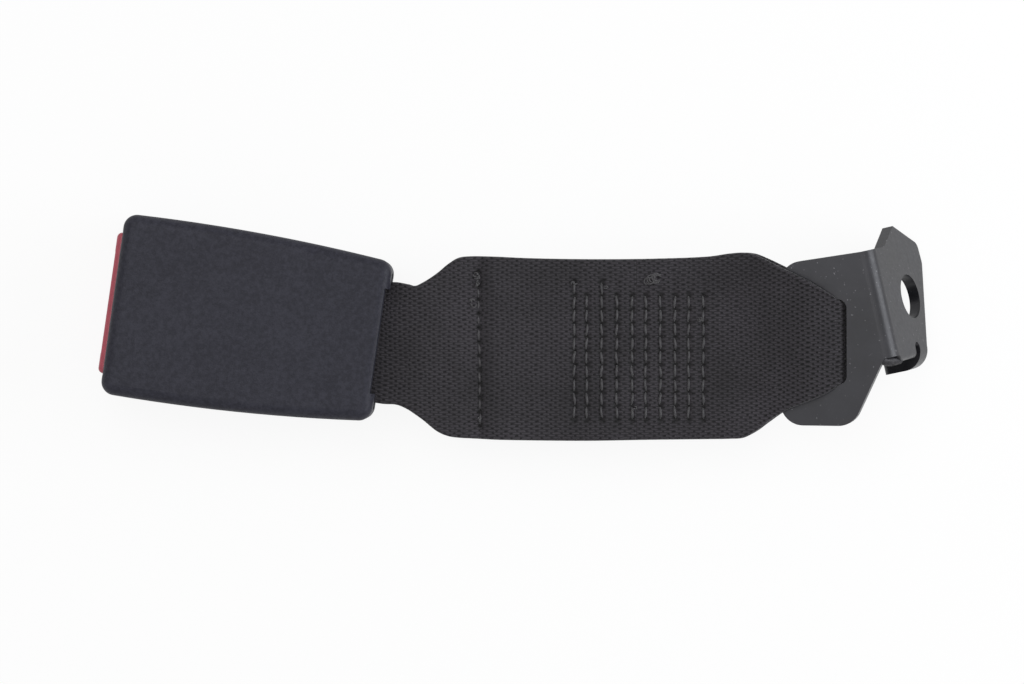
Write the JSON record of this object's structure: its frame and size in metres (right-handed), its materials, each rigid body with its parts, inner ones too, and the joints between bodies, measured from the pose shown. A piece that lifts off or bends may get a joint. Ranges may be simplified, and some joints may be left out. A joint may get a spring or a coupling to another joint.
{
  "type": "seat belt buckle",
  "caption": "Seat belt buckle with a push button, sewn to a short webbing strap that loops round a bent steel anchor bracket with one bolt hole.",
  "frame": {"origin": "centre of the flat outer face of the front cover, on which the buckle lies", "axes": "+X along the buckle from the tongue mouth towards the strap, +Z out of the back cover, +Y across the buckle"},
  "size_m": [0.219, 0.0741, 0.0291],
  "materials": {
    "cover_plastic": "fine-grained moulded",
    "button_plastic": "satin moulded",
    "guide_plastic": "moulded",
    "frame_steel": "zinc plated",
    "spring_steel": "drawn wire",
    "bracket_steel": "dark semi-gloss coating",
    "webbing": "woven polyester",
    "thread": "twisted polyester"
  },
  "bodies": {
    "buckle": {"back_cover": "cover_plastic", "front_cover": "cover_plastic", "frame": "frame_steel", "latch_pivot_pin": "frame_steel", "tongue_guide": "guide_plastic", "buckle_loop": "webbing", "button_spring_left": "spring_steel", "button_spring_right": "spring_steel", "latch_spring": "spring_steel", "ejector_spring": "spring_steel"},
    "button": {"press_button": "button_plastic"},
    "latch_lever": {"latch": "frame_steel"},
    "tongue_ejector": {"ejector": "guide_plastic"},
    "strap": {"strap_top_layer": "webbing", "strap_middle_layer": "webbing", "strap_end_layer": "webbing", "box_stitching": "thread", "line_stitching": "thread"},
    "anchor": {"anchor_loop": "webbing", "anchor_bracket": "bracket_steel"}
  },
  "joints": [
    {"name": "button_press", "type": "slide", "parent": "buckle", "child": "button", "axis": [1, 0, 0], "range_m": [0, 0.006], "stiffness_N_per_m": 800, "springref_m": -0.004, "deforming": ["button_spring_left", "button_spring_right"]},
    {"name": "latch_lift", "type": "hinge", "parent": "buckle", "child": "latch_lever", "pos_m": [0.012, 0, 0.00975], "axis": [0, -1, 0], "range_deg": [0, 14.6], "deforming": ["latch_spring"]},
    {"name": "ejector_slide", "type": "slide", "parent": "buckle", "child": "tongue_ejector", "axis": [1, 0, 0], "range_m": [0, 0.01], "stiffness_N_per_m": 350, "springref_m": -0.008, "deforming": ["ejector_spring"]},
    {"name": "strap_flex", "type": "hinge", "parent": "buckle", "child": "strap", "pos_m": [0.0417, 0, 0.0125], "axis": [-0.1418, 0.9899, 0], "range_deg": [-40, 60]},
    {"name": "bracket_flex", "type": "hinge", "parent": "strap", "child": "anchor", "pos_m": [0.13242, 0.01299, 0.01789], "axis": [-0.1418, 0.9899, 0], "range_deg": [-40, 45]}
  ],
  "couplings": [
    {"joint": "latch_lift", "follows": "button_press", "rad_per_m": 42.18}
  ]
}
